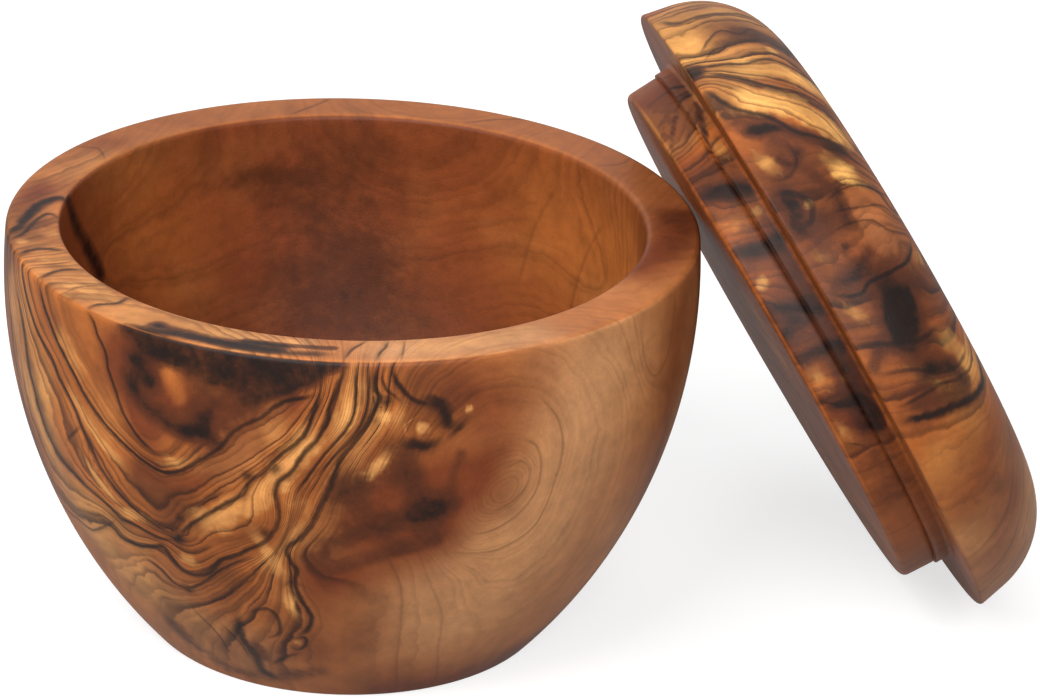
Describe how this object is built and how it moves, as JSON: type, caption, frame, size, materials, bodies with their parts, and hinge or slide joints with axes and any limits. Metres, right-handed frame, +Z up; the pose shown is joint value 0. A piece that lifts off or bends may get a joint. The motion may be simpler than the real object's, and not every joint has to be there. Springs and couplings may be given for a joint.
{
  "type": "turned wooden lidded bowl for sugar",
  "caption": "Round turned wooden sugar bowl with a flat rim and foot, its lift-off domed lid leaning against it.",
  "frame": {"origin": "middle of the bowl's flat foot, on the surface the bowl stands on", "axes": "+Z up along the bowl's axis; +X towards the side where the lid leans, with the lid turned 14 degrees from +X towards +Y"},
  "size_m": [0.1676, 0.1257, 0.0995],
  "materials": {
    "bowl_wood": "oiled satin, strongly figured",
    "lid_wood": "oiled satin, strongly figured"
  },
  "bodies": {
    "bowl": {"bowl": "bowl_wood"},
    "lid": {"lid": "lid_wood"}
  },
  "joints": [
    {"name": "lid_lift", "type": "slide", "parent": "bowl", "child": "lid", "axis": [0, 0, 1], "range_m": [0, 0.09]}
  ]
}
